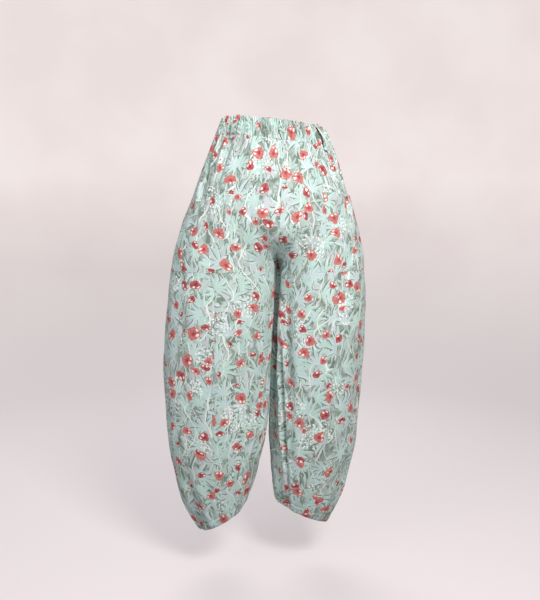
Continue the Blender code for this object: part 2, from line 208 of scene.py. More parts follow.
# Folds, each a soft trough with a low ridge beside it. width is in turns, depth in metres, and
# drift is the change of turn from a fold's top to its bottom. The first rows are the large ones.
Fold = namedtuple("Fold", "side turn top bottom width depth drift")
FOLDS = (
    Fold("left", 0.450, 0.005, 0.200, 0.022, 0.0050, -0.150),
    Fold("left", 0.170, 0.300, 0.560, 0.035, 0.0035, 0.020),
    Fold("left", 0.068, 0.480, 0.740, 0.026, 0.0055, 0.060),
    Fold("left", 0.230, 0.700, 0.895, 0.030, 0.0045, -0.020),
    Fold("left", 0.370, 0.740, 0.895, 0.028, 0.0040, 0.015),
    Fold("left", 0.620, 0.300, 0.620, 0.036, 0.0040, 0.020),
    Fold("left", 0.840, 0.420, 0.760, 0.034, 0.0050, -0.030),
    Fold("left", 0.730, 0.730, 0.895, 0.030, 0.0045, 0.010),
    Fold("right", 0.075, 0.295, 0.865, 0.024, 0.0085, 0.078),
    Fold("right", 0.205, 0.420, 0.800, 0.034, 0.0035, -0.010),
    Fold("right", 0.430, 0.010, 0.190, 0.024, 0.0045, -0.110),
    Fold("right", 0.240, 0.730, 0.895, 0.028, 0.0045, 0.015),
    Fold("right", 0.400, 0.700, 0.895, 0.030, 0.0045, -0.020),
    Fold("right", 0.640, 0.320, 0.640, 0.036, 0.0040, -0.020),
    Fold("right", 0.860, 0.400, 0.780, 0.032, 0.0055, 0.020),
    Fold("right", 0.740, 0.720, 0.895, 0.030, 0.0045, -0.010),
    # the cloth sinks in behind and before the inseams, where the legs meet
    Fold("left", 0.025, 0.220, 0.640, 0.016, 0.0090, 0.000),
    Fold("left", 0.975, 0.240, 0.600, 0.016, 0.0070, 0.000),
    Fold("right", 0.026, 0.220, 0.700, 0.017, 0.0110, 0.000),
    Fold("right", 0.974, 0.240, 0.660, 0.017, 0.0070, 0.000),
    # the long crease of the right leg, sharper below the knee
    Fold("right", 0.056, 0.420, 0.860, 0.0095, 0.0130, 0.085),
    Fold("right", 0.020, 0.400, 0.880, 0.036, 0.0080, 0.070),
    Fold("right", 0.285, 0.580, 0.820, 0.013, 0.0034, -0.020),
    # a fold down inside the outline of the left hip
    Fold("left", 0.435, 0.000, 0.230, 0.010, 0.0042, -0.115),
    # drag lines from the crotch seam up over the seat
    Fold("left", 0.120, 0.150, 0.290, 0.016, 0.0022, -0.095),
    Fold("left", 0.190, 0.180, 0.330, 0.018, 0.0018, -0.120),
    Fold("right", 0.110, 0.160, 0.292, 0.014, 0.0020, -0.085),
    Fold("right", 0.210, 0.190, 0.350, 0.018, 0.0020, -0.120),
    # slanting creases on the inner left leg
    Fold("left", 0.018, 0.430, 0.620, 0.011, 0.0036, 0.070),
    Fold("left", 0.070, 0.480, 0.840, 0.0095, 0.0078, 0.125),
    Fold("left", 0.024, 0.600, 0.800, 0.011, 0.0036, 0.100),
    # small folds beside the long one on the right leg
    Fold("right", 0.030, 0.330, 0.560, 0.012, 0.0030, 0.030),
    Fold("right", 0.115, 0.480, 0.700, 0.013, 0.0024, 0.045),
    Fold("right", 0.045, 0.620, 0.800, 0.012, 0.0028, 0.070),
    # shallow upright folds down the thighs and calves
    Fold("left", 0.290, 0.330, 0.600, 0.018, 0.0016, 0.015),
    Fold("left", 0.390, 0.260, 0.520, 0.020, 0.0018, -0.020),
    Fold("left", 0.350, 0.560, 0.760, 0.016, 0.0016, 0.010),
    Fold("right", 0.300, 0.300, 0.560, 0.018, 0.0018, -0.015),
    Fold("right", 0.390, 0.380, 0.640, 0.020, 0.0018, 0.020),
    Fold("right", 0.340, 0.580, 0.780, 0.016, 0.0016, -0.010),
    # short folds that rise from the hems
    Fold("left", 0.125, 0.770, 0.900, 0.013, 0.0030, -0.012),
    Fold("left", 0.178, 0.800, 0.900, 0.010, 0.0024, 0.008),
    Fold("left", 0.300, 0.780, 0.900, 0.013, 0.0028, 0.010),
    Fold("left", 0.445, 0.790, 0.900, 0.014, 0.0026, -0.012),
    Fold("right", 0.130, 0.790, 0.900, 0.013, 0.0030, 0.010),
    Fold("right", 0.188, 0.760, 0.900, 0.011, 0.0026, -0.010),
    Fold("right", 0.318, 0.790, 0.900, 0.013, 0.0028, -0.008),
    Fold("right", 0.460, 0.770, 0.900, 0.014, 0.0026, 0.012),
    # the like on the front
    Fold("left", 0.880, 0.160, 0.295, 0.015, 0.0022, 0.085),
    Fold("left", 0.800, 0.190, 0.340, 0.018, 0.0018, 0.110),
    Fold("left", 0.965, 0.450, 0.640, 0.013, 0.0028, -0.070),
    Fold("left", 0.560, 0.400, 0.640, 0.018, 0.0018, 0.015),
    Fold("left", 0.680, 0.540, 0.760, 0.018, 0.0020, -0.010),
    Fold("left", 0.590, 0.780, 0.900, 0.014, 0.0028, 0.010),
    Fold("left", 0.830, 0.770, 0.900, 0.013, 0.0030, -0.010),
    Fold("left", 0.930, 0.790, 0.900, 0.012, 0.0026, 0.010),
    Fold("right", 0.885, 0.170, 0.300, 0.015, 0.0022, 0.080),
    Fold("right", 0.790, 0.180, 0.330, 0.018, 0.0018, 0.120),
    Fold("right", 0.960, 0.520, 0.700, 0.013, 0.0028, -0.080),
    Fold("right", 0.550, 0.360, 0.600, 0.018, 0.0018, -0.015),
    Fold("right", 0.700, 0.560, 0.780, 0.018, 0.0020, 0.012),
    Fold("right", 0.600, 0.770, 0.900, 0.014, 0.0028, -0.010),
    Fold("right", 0.820, 0.790, 0.900, 0.013, 0.0030, 0.010),
    Fold("right", 0.920, 0.770, 0.900, 0.012, 0.0026, -0.010),
)
FOLD_FADE = 0.3           # share of a fold's length over which each end dies out
RIDGE_SHARE = 0.30        # height of the ridge beside a fold, of its depth
RIDGE_OFFSET = 1.7        # and how far it stands from the fold's middle, in widths

# Slow waves of limp cloth all over: waves in a turn, waves in a metre of drop, height in metres.
Wave = namedtuple("Wave", "round_leg down height start")
WAVES = (
    Wave(6.0, 1.7, 0.0007, 0.4),
    Wave(9.0, -2.3, 0.0006, 2.1),
    Wave(13.0, 3.1, 0.0005, 4.4),
    Wave(17.0, -6.0, 0.0003, 1.2),
    Wave(4.0, 9.0, 0.0005, 5.3),
    Wave(11.0, 13.0, 0.0003, 3.7),
)


def fold_depth(side, turn, drop):
    """How far the folded cloth lies below its smooth form."""
    depth = gather_depth(turn, drop)
    for fold in FOLDS:
        if fold.side != side:
            continue
        share = np.clip((drop - fold.top) / (fold.bottom - fold.top), 0.0, 1.0)
        offset = (turn - fold.turn - fold.drift * share) / fold.width
        fade = ease(share, 0.0, FOLD_FADE) * (1.0 - ease(share, 1.0 - FOLD_FADE, 1.0))
        trough = np.exp(-offset * offset)
        ridge = RIDGE_SHARE * np.exp(-(np.abs(offset) - RIDGE_OFFSET) ** 2)
        depth = depth + fold.depth * fade * (trough - ridge)
    slack = ease(drop, 0.02, 0.15)
    for wave in WAVES:
        phase = 2.0 * math.pi * (wave.round_leg * turn + wave.down * drop) + wave.start
        depth = depth + slack * wave.height * np.sin(phase + SIDES[side])
    return depth


def cloth(side, turn, drop):
    """A point on the outside of the folded cloth."""
    depth = fold_depth(side, turn, drop)[..., None]
    return smooth_cloth(side, turn, drop) - outwards(side, turn, drop) * depth


def lengths(points, axis):
    """Length along each row or column of a grid of points, from its start."""
    steps = np.linalg.norm(np.diff(points, axis=axis), axis=-1)
    start = np.zeros_like(np.take(steps, [0], axis=axis))
    return np.concatenate([start, np.cumsum(steps, axis=axis)], axis=axis)


def grid_normals(points, sign):
    """Unit normals of a grid of points whose rows run round the leg and columns run down."""
    along = np.gradient(points, axis=1)
    down = np.gradient(points, axis=0)
    normal = np.cross(along, down) * sign
    return normal / np.linalg.norm(normal, axis=-1, keepdims=True)


def grid_faces(numbers):
    """The quads of a grid of point numbers."""
    corners = (numbers[:-1, :-1], numbers[:-1, 1:], numbers[1:, 1:], numbers[1:, :-1])
    return np.stack([corner.ravel() for corner in corners], axis=1)


def cloth_shell(name, outer, inner, flat_places, finishes, sign, closed=False):
    """A closed thin shell of cloth between two grids of points, the outside and the inside.
    flat_places are the points' places on the flat cloth. The inside shows the reverse finish."""
    rows, columns = outer.shape[:2]
    count = rows * columns
    front = np.arange(count).reshape(rows, columns)
    if closed:
        front = np.concatenate([front, front[:, :1]], axis=1)
    back = front + count
    faces = [grid_faces(np.concatenate([back[:1], front, back[::-1]]))]
    if not closed:
        faces.append(grid_faces(np.stack([back[:, 0], front[:, 0]], axis=1)))
        faces.append(grid_faces(np.stack([front[:, -1], back[:, -1]], axis=1)))
    faces = np.concatenate(faces)
    if sign < 0.0:
        faces = faces[:, ::-1]
    points = np.concatenate([outer.reshape(-1, 3), inner.reshape(-1, 3)])
    places = np.tile(flat_places.reshape(-1, 2), (2, 1))
    mesh = bpy.data.meshes.new(name)
    mesh.from_pydata(points.tolist(), [], faces.tolist())
    mesh.uv_layers.new(name="print").uv.foreach_set("vector", places[faces.ravel()].ravel())
    for finish in finishes:
        mesh.materials.append(finish)
    inside = (faces >= count).all(axis=1)
    mesh.polygons.foreach_set("material_index", inside.astype(np.int32))
    mesh.shade_smooth()
    mesh.set_sharp_from_angle(angle=math.radians(60.0))
    piece = bpy.data.objects.new(name, mesh)
    bpy.context.collection.objects.link(piece)
    return piece


def place_piece(piece, node):
    """The piece stands for its node of the frame: it is joined to the root body, and the node's own
    part is hidden.
    """
    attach(piece, "root")
    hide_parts(node)
    return piece


# ---- the printed cotton: a plain weave with a crowded print of leaves, stems and red flowers.
# It gives a matt, slightly soft surface, busy with mint leaves over dark gaps.

def linear(code):
    """An sRGB hex colour as linear numbers with alpha."""
    shares = [int(code[place:place + 2], 16) / 255.0 for place in (1, 3, 5)]
    return tuple(s / 12.92 if s <= 0.04045 else ((s + 0.055) / 1.055) ** 2.4 for s in shares) + (1.0,)


def feed(tree, node, inputs):
    """Feed a node's inputs. Each is a number, a vector, an sRGB hex colour, a socket, or another
    node, which stands for its first output in use."""
    pairs = inputs.items() if isinstance(inputs, dict) else enumerate(inputs)
    for name, value in pairs:
        if isinstance(value, bpy.types.Node):
            value = next(socket for socket in value.outputs if socket.enabled)
        if isinstance(value, str):
            value = linear(value)
        if isinstance(value, bpy.types.NodeSocket):
            tree.links.new(value, node.inputs[name])
        else:
            node.inputs[name].default_value = value


def add(tree, kind, inputs=(), **settings):
    """Add a node with its settings, and feed its inputs."""
    node = tree.nodes.new("ShaderNode" + kind)
    for name, value in settings.items():
        setattr(node, name, value)
    feed(tree, node, inputs)
    return node


def motif_places(tree, where, spacing, shift, tall=1.0):
    """Scatter one motif over the cloth, some spacing apart and tall times as much upwards. Gives
    its random numbers and the way from its middle."""
    moved = add(tree, "VectorMath", (where, shift), operation="ADD")
    low = add(tree, "VectorMath", (moved, (1.0, 1.0 / tall, 1.0)), operation="MULTIPLY")
    cells = add(tree, "TexVoronoi", {"Vector": low, "Scale": 1.0 / spacing},
                voronoi_dimensions="2D")
    chance = add(tree, "SeparateColor", (cells.outputs["Color"],)).outputs
    offset = add(tree, "VectorMath", (low, cells.outputs["Position"]), operation="SUBTRACT")
    return chance, add(tree, "VectorMath", (offset, (1.0, tall, 1.0)), operation="MULTIPLY")


def scatter(tree, where, spacing, shift, squash=1.0, swing=math.pi):
    """Scatter one motif and turn each by up to swing either way from upright. Gives its random
    numbers, the distance from its middle and the angle round it."""
    chance, offset = motif_places(tree, where, spacing, shift)
    angle = add(tree, "Math", (chance[0], 2.0 * swing, -swing - 0.5 * math.pi),
                operation="MULTIPLY_ADD")
    turned = add(tree, "VectorRotate", {"Vector": offset, "Angle": angle}, rotation_type="Z_AXIS")
    slim = add(tree, "Math", (chance[1], squash - 1.0, 1.0), operation="MULTIPLY_ADD")
    stretch = add(tree, "CombineXYZ", (1.0, slim, 1.0))
    shaped = add(tree, "VectorMath", (turned, stretch), operation="MULTIPLY")
    far = add(tree, "VectorMath", (shaped,), operation="LENGTH")
    sides = add(tree, "SeparateXYZ", (shaped,)).outputs
    round_it = add(tree, "Math", (sides[1], sides[0]), operation="ARCTAN2")
    return chance, far, round_it


EDGE = 0.0003             # softness of the print's edges
SHADE = "#6c7d73"         # a dark sliver shows along one side of each blade
SHADOW_SHIFT = 0.0017
SHADOW_SPREAD = 0.0009
MIDRIB = 0.0002           # softness of the line between a blade's two halves
FAN_SWING = 2.2           # how far a fan of leaves may turn from upright
STEM_WAVES = 13.0         # sways and breaks of a stem in a metre
ANGLE_SPREAD = 37.0       # many turns, so that each flower starts at an angle of its own


def paint_blade(tree, under, dark, inside, aside, chance, pale, colours):
    """Lay a blade over its dark sliver, in a tint picked by chance and with one half paler."""
    ground = add(tree, "Mix", {0: dark, 6: under, 7: SHADE}, data_type="RGBA")
    tint = add(tree, "Mix", {0: chance, 6: colours[0], 7: colours[1]}, data_type="RGBA")
    one_half = add(tree, "MapRange", (aside, -MIDRIB, MIDRIB))
    paler = add(tree, "Math", (one_half, pale), operation="MULTIPLY")
    tint = add(tree, "Mix", {0: paler, 6: tint, 7: colours[2]}, data_type="RGBA")
    mask = add(tree, "MapRange", (inside, 0.0, EDGE))
    return add(tree, "Mix", {0: mask, 6: ground, 7: tint}, data_type="RGBA")


def leaf_fans(tree, under, where, shift, spacing, blades, reach, width, bend, colours, shadow):
    """A layer of palm-like leaves: slim bent blades that fan out from one point, the middle ones
    longest, each with a dark sliver along one side and one half paler than the other."""
    chance, far, round_it = scatter(tree, where, spacing, shift, swing=FAN_SWING)
    bent = add(tree, "Math", (far, bend, round_it), operation="MULTIPLY_ADD")
    count = add(tree, "Math", (bent, blades / (2.0 * math.pi)), operation="MULTIPLY")
    whole = add(tree, "Math", (count,), operation="FLOOR")
    blade = add(tree, "Math", (whole, float(blades)), operation="FLOORED_MODULO")
    key = add(tree, "CombineXYZ", (blade, chance[1], 0.0))
    random = add(tree, "TexWhiteNoise", {"Vector": key}, noise_dimensions="2D")
    uneven = add(tree, "Math", (random, 0.45 * reach, 0.62 * reach), operation="MULTIPLY_ADD")
    middle = add(tree, "Math", (whole, 0.5), operation="ADD")
    lean = add(tree, "Math", (middle, 2.0 * math.pi / blades), operation="MULTIPLY")
    ahead = add(tree, "Math", (lean,), operation="COSINE")
    fan = add(tree, "MapRange", (ahead, -0.55, 0.85, 0.12, 1.0))
    long = add(tree, "Math", (uneven, fan), operation="MULTIPLY")
    share = add(tree, "Math", (far, long), operation="DIVIDE")
    root = add(tree, "Math", (share, 0.6), operation="POWER")
    tip = add(tree, "Math", (1.0, share), operation="SUBTRACT")
    swell = add(tree, "Math", (root, tip), operation="MULTIPLY")
    half = add(tree, "Math", (swell, 2.9 * width), operation="MULTIPLY")
    fraction = add(tree, "Math", (count, whole), operation="SUBTRACT")
    centred = add(tree, "Math", (fraction, 0.5), operation="SUBTRACT")
    arc = add(tree, "Math", (centred, 2.0 * math.pi / blades), operation="MULTIPLY")
    aside = add(tree, "Math", (arc, far), operation="MULTIPLY")
    across = add(tree, "Math", (aside,), operation="ABSOLUTE")
    inside = add(tree, "Math", (half, across), operation="SUBTRACT")
    shifted = add(tree, "Math", (aside, SHADOW_SHIFT), operation="SUBTRACT")
    shifted = add(tree, "Math", (shifted,), operation="ABSOLUTE")
    behind = add(tree, "Math", (half, shifted), operation="SUBTRACT")
    dark = add(tree, "MapRange", (behind, -SHADOW_SPREAD, 0.0))
    grown = add(tree, "MapRange", (share, 1.0, 0.86))
    dark = add(tree, "Math", (dark, grown), operation="MULTIPLY")
    dark = add(tree, "Math", (dark, shadow), operation="MULTIPLY")
    return paint_blade(tree, under, dark, inside, aside, random, 0.45, colours)


def long_blades(tree, under, where, shift, spacing, tall, width, bend, colours):
    """A layer of slim upright blades, each bent a little, with a dark edge and one half paler."""
    chance, offset = motif_places(tree, where, spacing, shift, tall)
    angle = add(tree, "Math", (chance[0], 0.9, -0.45), operation="MULTIPLY_ADD")
    turned = add(tree, "VectorRotate", {"Vector": offset, "Angle": angle}, rotation_type="Z_AXIS")
    sides = add(tree, "SeparateXYZ", (turned,)).outputs
    square = add(tree, "Math", (sides[1], sides[1]), operation="MULTIPLY")
    curl = add(tree, "Math", (chance[1], 2.0 * bend, -bend), operation="MULTIPLY_ADD")
    aside = add(tree, "Math", (square, curl, sides[0]), operation="MULTIPLY_ADD")
    long = add(tree, "Math", (chance[2], 0.20 * spacing * tall, 0.34 * spacing * tall),
               operation="MULTIPLY_ADD")
    share = add(tree, "Math", (sides[1], long), operation="DIVIDE")
    share = add(tree, "Math", (share, share), operation="MULTIPLY")
    half = add(tree, "Math", (share, -width, width), operation="MULTIPLY_ADD")
    across = add(tree, "Math", (aside,), operation="ABSOLUTE")
    inside = add(tree, "Math", (half, across), operation="SUBTRACT")
    one_side = add(tree, "MapRange", (aside, -MIDRIB, MIDRIB))
    dark = add(tree, "MapRange", (inside, -0.0009, -EDGE))
    dark = add(tree, "Math", (dark, one_side), operation="MULTIPLY")
    return paint_blade(tree, under, dark, inside, aside, chance[2], 0.5, colours)


def oval_leaves(tree, under, where, shift, spacing, length, squash, fill, rim):
    """Plain oval leaves, dark with a paler rim and a pale middle vein."""
    chance, far, round_it = scatter(tree, where, spacing, shift, squash=squash)
    size = add(tree, "Math", (chance[2], 0.5 * length, 0.1 * length), operation="MULTIPLY_ADD")
    point = add(tree, "Math", (round_it, 2.0), operation="MULTIPLY")
    point = add(tree, "Math", (point,), operation="COSINE")
    edge = add(tree, "Math", (point, 0.16, 0.84), operation="MULTIPLY_ADD")
    edge = add(tree, "Math", (edge, size), operation="MULTIPLY")
    inside = add(tree, "Math", (edge, far), operation="SUBTRACT")
    edging = add(tree, "MapRange", (inside, -0.0009, -0.0004))
    under = add(tree, "Mix", {0: edging, 6: under, 7: rim}, data_type="RGBA")
    vein = add(tree, "Math", (round_it,), operation="SINE")
    vein = add(tree, "Math", (vein,), operation="ABSOLUTE")
    vein = add(tree, "MapRange", (vein, 0.16, 0.06))
    vein = add(tree, "Math", (vein, 0.45), operation="MULTIPLY")
    leaf = add(tree, "Mix", {0: vein, 6: fill, 7: rim}, data_type="RGBA")
    mask = add(tree, "MapRange", (inside, 0.0, EDGE))
    return add(tree, "Mix", {0: mask, 6: under, 7: leaf}, data_type="RGBA")


def stems(tree, under, where, shift, spacing, lean, sway, width, colour, amount):
    """Slim stems that grow upwards at a lean, sway from side to side and break off."""
    moved = add(tree, "VectorMath", (where, shift), operation="ADD")
    turned = add(tree, "VectorRotate", {"Vector": moved, "Angle": lean}, rotation_type="Z_AXIS")
    slow = add(tree, "TexNoise", {"Vector": turned, "Scale": STEM_WAVES, "Detail": 0.0},
               noise_dimensions="2D")
    sides = add(tree, "SeparateXYZ", (turned,)).outputs
    aside = add(tree, "Math", (slow, sway, sides[0]), operation="MULTIPLY_ADD")
    count = add(tree, "Math", (aside, 1.0 / spacing), operation="MULTIPLY")
    whole = add(tree, "Math", (count,), operation="FLOOR")
    key = add(tree, "CombineXYZ", (whole, lean, 0.0))
    random = add(tree, "TexWhiteNoise", {"Vector": key}, noise_dimensions="2D")
    place = add(tree, "Math", (random, 0.6, 0.2), operation="MULTIPLY_ADD")
    fraction = add(tree, "Math", (count, whole), operation="SUBTRACT")
    away = add(tree, "Math", (fraction, place), operation="SUBTRACT")
    away = add(tree, "Math", (away,), operation="ABSOLUTE")
    line = add(tree, "MapRange", (away, (0.5 * width + EDGE) / spacing, 0.5 * width / spacing))
    along = add(tree, "Math", (sides[1], STEM_WAVES), operation="MULTIPLY")
    across = add(tree, "Math", (whole, 7.3), operation="MULTIPLY")
    piece = add(tree, "CombineXYZ", (across, along, 0.0))
    patch = add(tree, "TexNoise", {"Vector": piece, "Scale": 1.0, "Detail": 0.0},
                noise_dimensions="2D")
    kept = add(tree, "MapRange", (patch, 0.54 - amount, 0.55 - amount))
    share = add(tree, "Math", (line, kept), operation="MULTIPLY")
    return add(tree, "Mix", {0: share, 6: under, 7: colour}, data_type="RGBA")


def dot_clusters(tree, under, where, shift, spacing, cluster, dot_spacing, dot, colour):
    """Loose heads of small dots, as on an umbel flower or a spray of berries."""
    chance, far, _ = scatter(tree, where, spacing, shift, squash=1.6)
    size = add(tree, "Math", (chance[2], 0.6 * cluster, 0.5 * cluster), operation="MULTIPLY_ADD")
    head = add(tree, "Math", (far, size), operation="LESS_THAN")
    dots = add(tree, "TexVoronoi", {"Vector": where, "Scale": 1.0 / dot_spacing},
               voronoi_dimensions="2D")
    spot = add(tree, "MapRange", (dots.outputs["Distance"], dot / dot_spacing, 0.7 * dot / dot_spacing))
    which = add(tree, "SeparateColor", (dots.outputs["Color"],)).outputs
    shown = add(tree, "Math", (which[0], 0.3), operation="GREATER_THAN")
    share = add(tree, "Math", (head, spot), operation="MULTIPLY")
    share = add(tree, "Math", (share, shown), operation="MULTIPLY")
    return add(tree, "Mix", {0: share, 6: under, 7: colour}, data_type="RGBA")


def red_flowers(tree, under, where, shift, spacing, radius, squash, lobes, lobe_depth, frills,
                frill_depth, shades, keep):
    """Field flowers with a pale rim, a dark eye and white wedges of light. Three lobes and many
    frills give a round open flower, and a single lobe gives a cup seen from the side."""
    chance, far, round_it = scatter(tree, where, spacing, shift, squash=squash)
    size = add(tree, "Math", (chance[2], 0.55 * radius, 0.70 * radius), operation="MULTIPLY_ADD")
    shift_angle = add(tree, "Math", (chance[1], ANGLE_SPREAD), operation="MULTIPLY")
    lobe = add(tree, "Math", (round_it, lobes, shift_angle), operation="MULTIPLY_ADD")
    lobe = add(tree, "Math", (lobe,), operation="COSINE")
    frill = add(tree, "Math", (round_it, frills, shift_angle), operation="MULTIPLY_ADD")
    frill = add(tree, "Math", (frill,), operation="COSINE")
    edge = add(tree, "Math", (lobe, lobe_depth, 0.92), operation="MULTIPLY_ADD")
    edge = add(tree, "Math", (frill, frill_depth, edge), operation="MULTIPLY_ADD")
    edge = add(tree, "Math", (edge, size), operation="MULTIPLY")
    inside = add(tree, "Math", (edge, far), operation="SUBTRACT")
    share = add(tree, "Math", (far, edge), operation="DIVIDE")
    shown = add(tree, "Math", (chance[0], keep), operation="LESS_THAN")
    rim = add(tree, "MapRange", (inside, -0.0013, -0.0007))
    rim = add(tree, "Math", (rim, shown), operation="MULTIPLY")
    rim = add(tree, "Math", (rim, 0.6), operation="MULTIPLY")
    under = add(tree, "Mix", {0: rim, 6: under, 7: "#dccfc6"}, data_type="RGBA")
    petal = add(tree, "Mix", {0: chance[2], 6: shades[0], 7: shades[1]}, data_type="RGBA")
    outer = add(tree, "MapRange", (share, 0.35, 0.80))
    outer = add(tree, "Math", (outer, 0.6), operation="MULTIPLY")
    petal = add(tree, "Mix", {0: outer, 6: petal, 7: shades[2]}, data_type="RGBA")
    crease = add(tree, "MapRange", (frill, 0.55, 0.95))
    outline = add(tree, "MapRange", (share, 0.86, 0.96))
    crease = add(tree, "Math", (crease, outline), operation="MAXIMUM")
    crease = add(tree, "Math", (crease, 0.6), operation="MULTIPLY")
    petal = add(tree, "Mix", {0: crease, 6: petal, 7: shades[3]}, data_type="RGBA")
    eye = add(tree, "MapRange", (share, 0.34, 0.20))
    petal = add(tree, "Mix", {0: eye, 6: petal, 7: shades[3]}, data_type="RGBA")
    light_angle = add(tree, "Math", (round_it, shift_angle), operation="ADD")
    for turn, low, high in ((0.0, 0.40, 0.84), (1.15, 0.56, 0.82)):
        faced = add(tree, "Math", (light_angle, turn), operation="ADD")
        faced = add(tree, "Math", (faced,), operation="COSINE")
        wedge = add(tree, "MapRange", (faced, 0.93, 0.97))
        inner = add(tree, "MapRange", (share, low - 0.04, low + 0.04))
        before = add(tree, "MapRange", (share, high + 0.04, high - 0.04))
        wedge = add(tree, "Math", (wedge, inner), operation="MULTIPLY")
        wedge = add(tree, "Math", (wedge, before), operation="MULTIPLY")
        petal = add(tree, "Mix", {0: wedge, 6: petal, 7: "#f1e6e0"}, data_type="RGBA")
    mask = add(tree, "MapRange", (inside, 0.0, EDGE))
    mask = add(tree, "Math", (mask, shown), operation="MULTIPLY")
    return add(tree, "Mix", {0: mask, 6: under, 7: petal}, data_type="RGBA")


# The layers of the print, from the ground up: what draws each one, and what that takes, in metres.
PRINT_LAYERS = (
    (long_blades, dict(shift=(0.19, 0.61, 0.0), spacing=0.016, tall=3.2, width=0.0024, bend=9.0,
                       colours=("#75867c", "#8e9f96", "#a2b2ab"))),
    (leaf_fans, dict(shift=(0.31, 0.17, 0.0), spacing=0.042, blades=10, reach=0.038, width=0.0028,
                     bend=9.0, colours=("#7b8c83", "#95a79f", "#a9b8b2"), shadow=0.3)),
    (stems, dict(shift=(0.41, 0.29, 0.0), spacing=0.017, lean=0.25, sway=0.05, width=0.0017,
                 colour="#6f8176", amount=0.02)),
    (leaf_fans, dict(shift=(0.07, 0.53, 0.0), spacing=0.046, blades=11, reach=0.048, width=0.0034,
                     bend=-8.0, colours=("#a0b7b0", "#b5c7c3", "#c2d0cd"), shadow=0.75)),
    (oval_leaves, dict(shift=(0.67, 0.13, 0.0), spacing=0.062, length=0.024, squash=3.0,
                       fill="#73857a", rim="#acbfb6")),
    (long_blades, dict(shift=(0.53, 0.09, 0.0), spacing=0.021, tall=3.0, width=0.0022, bend=11.0,
                       colours=("#a9c2ba", "#bccfca", "#cfdeda"))),
    (stems, dict(shift=(0.15, 0.49, 0.0), spacing=0.026, lean=-0.30, sway=0.05, width=0.0016,
                 colour="#d0ddd7", amount=0.0)),
    (leaf_fans, dict(shift=(0.77, 0.91, 0.0), spacing=0.052, blades=11, reach=0.056, width=0.0042,
                     bend=7.0, colours=("#a6c8c0", "#b6cfc9", "#cadeda"), shadow=0.95)),
    (stems, dict(shift=(0.59, 0.11, 0.0), spacing=0.030, lean=0.12, sway=0.05, width=0.0017,
                 colour="#d8e4dd", amount=0.01)),
    (leaf_fans, dict(shift=(0.23, 0.37, 0.0), spacing=0.062, blades=10, reach=0.060, width=0.0042,
                     bend=-6.0, colours=("#adccc5", "#bccad0", "#d2e2df"), shadow=0.95)),
    (dot_clusters, dict(shift=(0.13, 0.71, 0.0), spacing=0.105, cluster=0.034, dot_spacing=0.0068,
                        dot=0.0025, colour="#e6ebea")),
    (stems, dict(shift=(0.05, 0.83, 0.0), spacing=0.036, lean=-0.14, sway=0.06, width=0.0019,
                 colour="#e0e8e2", amount=0.0)),
    (dot_clusters, dict(shift=(0.83, 0.47, 0.0), spacing=0.110, cluster=0.014, dot_spacing=0.0075,
                        dot=0.0019, colour="#8f3a4b")),
    (red_flowers, dict(shift=(0.37, 0.83, 0.0), spacing=0.062, radius=0.0136, squash=1.45,
                       lobes=3.0, lobe_depth=0.09, frills=9.0, frill_depth=0.035, keep=0.9,
                       shades=("#ba5a5c", "#c36c68", "#cf8c83", "#99424b"))),
    (red_flowers, dict(shift=(0.91, 0.05, 0.0), spacing=0.066, radius=0.0108, squash=1.7,
                       lobes=1.0, lobe_depth=0.20, frills=3.0, frill_depth=0.07, keep=0.85,
                       shades=("#a3444e", "#ae5155", "#bb6a67", "#7e3542"))),
)
THREAD = 0.0012           # plain poplin has threads 0.3 mm apart, drawn coarser so that they show
THREAD_HEIGHT = 0.00006
CRUMPLE = 0.012           # size of the soft crumples left by wear
SHAKE = 0.010             # how far the motifs are pulled out of their even shapes


def printed_cotton(name, faded=0.0, crumple=0.0007):
    """Printed plain-woven cotton. faded is how far the colours are lost, as on the reverse."""
    material = bpy.data.materials.new(name)
    material.use_nodes = True
    tree = material.node_tree
    where = add(tree, "UVMap", uv_map="print")

    wash = add(tree, "TexNoise", {"Vector": where, "Scale": 38.0, "Detail": 1.5},
               noise_dimensions="2D")
    shake = add(tree, "VectorMath", (wash.outputs["Color"], (0.5, 0.5, 0.5)),
                operation="SUBTRACT")
    shake = add(tree, "VectorMath", {0: shake, "Scale": SHAKE}, operation="SCALE")
    drawn = add(tree, "VectorMath", (where, shake), operation="ADD")
    leafy = add(tree, "MapRange", (wash, 0.36, 0.42))
    colour = add(tree, "Mix", {0: leafy, 6: "#72837a", 7: "#a4b2ac"}, data_type="RGBA")
    misty = add(tree, "MapRange", (wash, 0.49, 0.55))
    colour = add(tree, "Mix", {0: misty, 6: colour, 7: "#bfc5cb"}, data_type="RGBA")
    for draw_layer, sizes in PRINT_LAYERS:
        colour = draw_layer(tree, colour, drawn, **sizes)
    if faded > 0.0:
        colour = add(tree, "Mix", {0: faded, 6: colour, 7: "#c6cfcb"}, data_type="RGBA")

    thread = add(tree, "VectorMath", {0: where, "Scale": math.pi / THREAD}, operation="SCALE")
    sides = add(tree, "SeparateXYZ", (thread,)).outputs
    warp = add(tree, "Math", (sides[0],), operation="SINE")
    weft = add(tree, "Math", (sides[1],), operation="SINE")
    weave = add(tree, "Math", (warp, weft), operation="MULTIPLY")
    uneven = add(tree, "TexNoise", {"Vector": where, "Scale": 1.0 / CRUMPLE, "Detail": 3.0},
                 noise_dimensions="2D")
    soft = add(tree, "Bump", {"Height": uneven, "Distance": crumple, "Strength": 1.0})
    fine = add(tree, "Bump", {"Height": weave, "Distance": THREAD_HEIGHT, "Strength": 1.0,
                              "Normal": soft})
    rough = add(tree, "MapRange", (wash, 0.3, 0.7, 0.76, 0.86))
    feed(tree, tree.nodes["Principled BSDF"], {
        "Base Color": colour, "Roughness": rough, "Normal": fine, "Specular IOR Level": 0.35,
        "Sheen Weight": 0.12, "Sheen Roughness": 0.45})
    return material


PRINTED = printed_cotton("printed plain-woven cotton")
REVERSE = printed_cotton("reverse of the printed cotton", faded=0.55)

